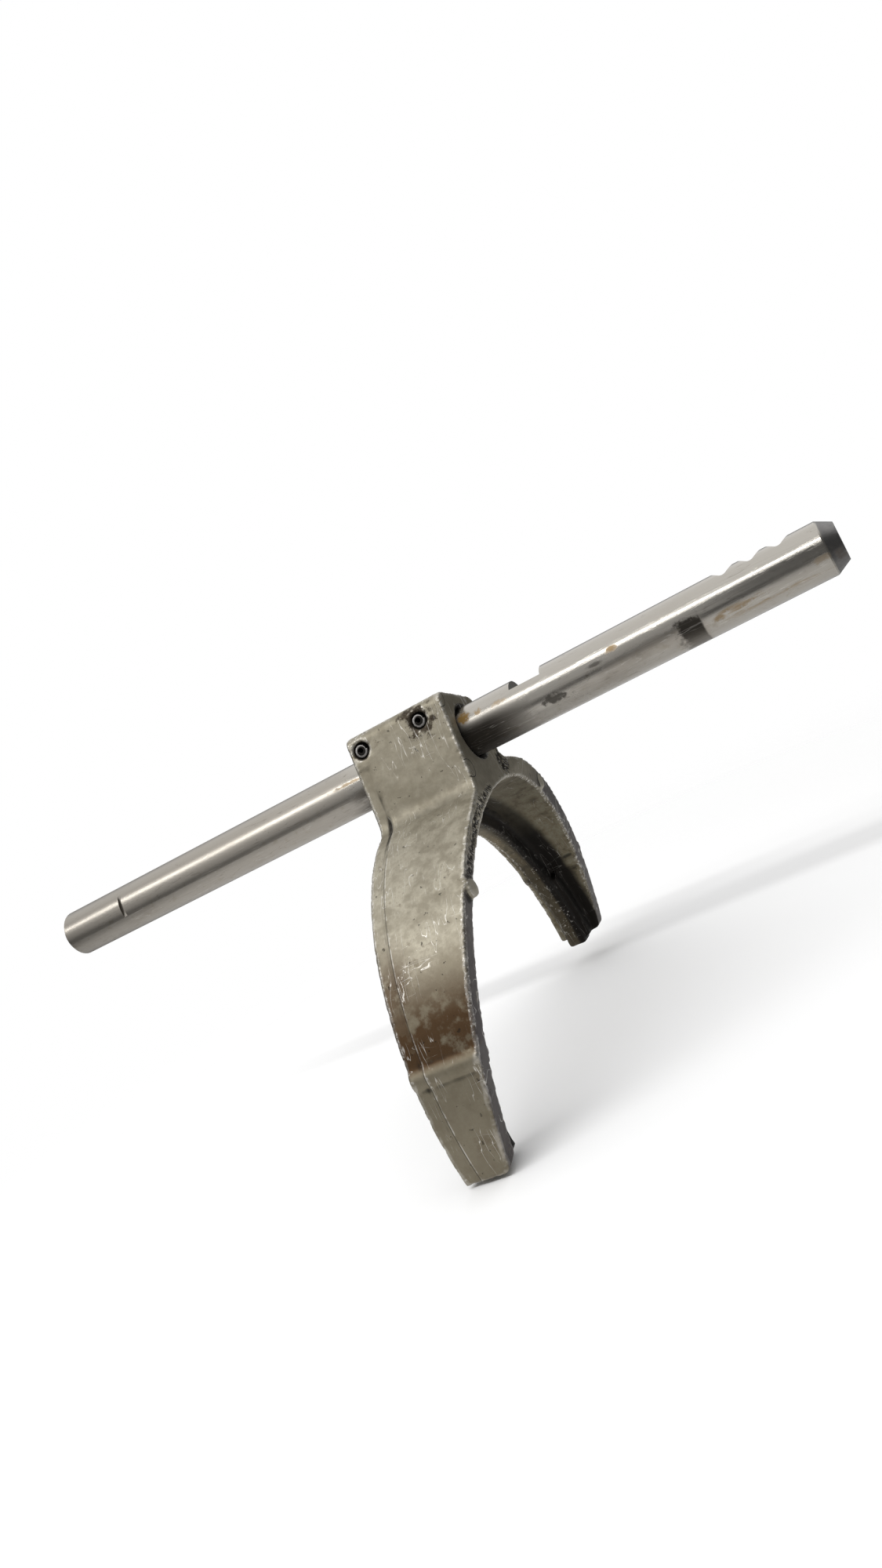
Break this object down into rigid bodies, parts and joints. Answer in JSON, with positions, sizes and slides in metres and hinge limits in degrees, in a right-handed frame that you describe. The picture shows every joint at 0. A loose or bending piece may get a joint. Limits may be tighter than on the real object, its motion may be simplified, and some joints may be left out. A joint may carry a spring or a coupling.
{
  "type": "gear selector fork",
  "caption": "Cast shift fork with a half-round sleeve groove tongue, held by coiled spring pins on a ground steel selector rail with detent notches and an interlock slot.",
  "frame": {"origin": "on the rail's axis, in the mid-plane of the fork's tongue", "axes": "+X along the rail towards its detent end, +Z from the sleeve's axis to the rail's axis, +Y towards the arm with the higher tip"},
  "size_m": [0.2885, 0.1562, 0.118],
  "materials": {
    "ground_steel": "ground, oil-stained",
    "cast_aluminium": "die cast, dirty, worn edges",
    "spring_steel": "dark oiled strip"
  },
  "bodies": {
    "root": {"selector_rail": "ground_steel", "shift_fork": "cast_aluminium", "coiled_pin_back": "spring_steel", "coiled_pin_front": "spring_steel"}
  },
  "joints": []
}
